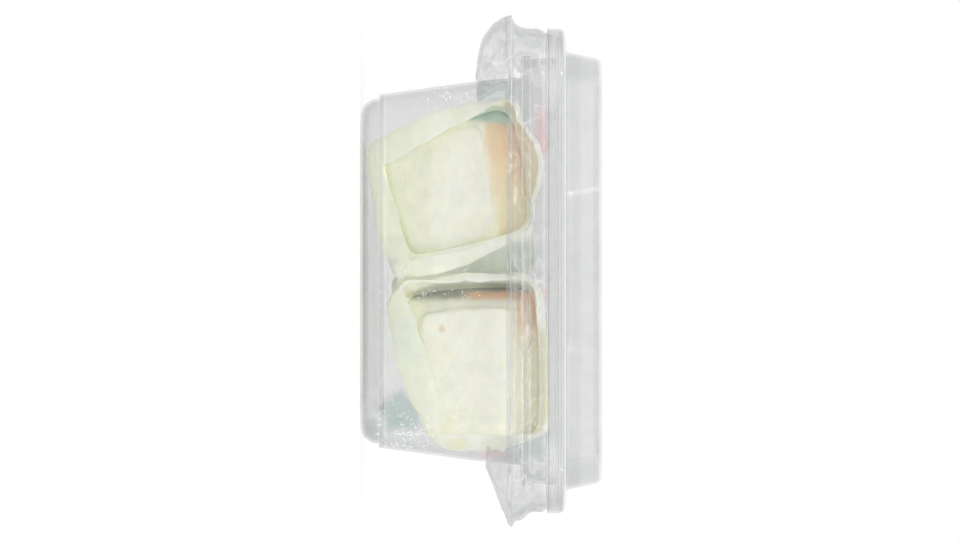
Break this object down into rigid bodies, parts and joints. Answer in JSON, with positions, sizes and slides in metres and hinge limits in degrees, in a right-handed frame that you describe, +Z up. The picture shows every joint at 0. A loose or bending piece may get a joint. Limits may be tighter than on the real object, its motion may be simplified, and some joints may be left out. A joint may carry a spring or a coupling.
{
  "type": "fresh goat cheese pack",
  "caption": "Shut clear plastic tray with a domed lid and a thin film skirt, holding fresh goat cheese in thin pale wraps.",
  "frame": {"origin": "below the middle of the pack, on the surface that its tray stands on", "axes": "+Z up through the lid, X along the long side of the pack, and -Y out of the long side that the picture shows"},
  "size_m": [0.1494, 0.119, 0.0705],
  "materials": {
    "clear_plastic": "clear, glossy thermoformed sheet",
    "clear_film": "thin clear film, slightly crinkled",
    "cheese": "moist, fine-grained fresh cheese, white to cream",
    "wrap": "thin, pale, slightly translucent"
  },
  "bodies": {
    "root": {"tray": "clear_plastic", "lid": "clear_plastic", "film": "clear_film", "cheese_left": "cheese", "cheese_right": "cheese", "wrap_left": "wrap", "wrap_right": "wrap"}
  },
  "joints": []
}
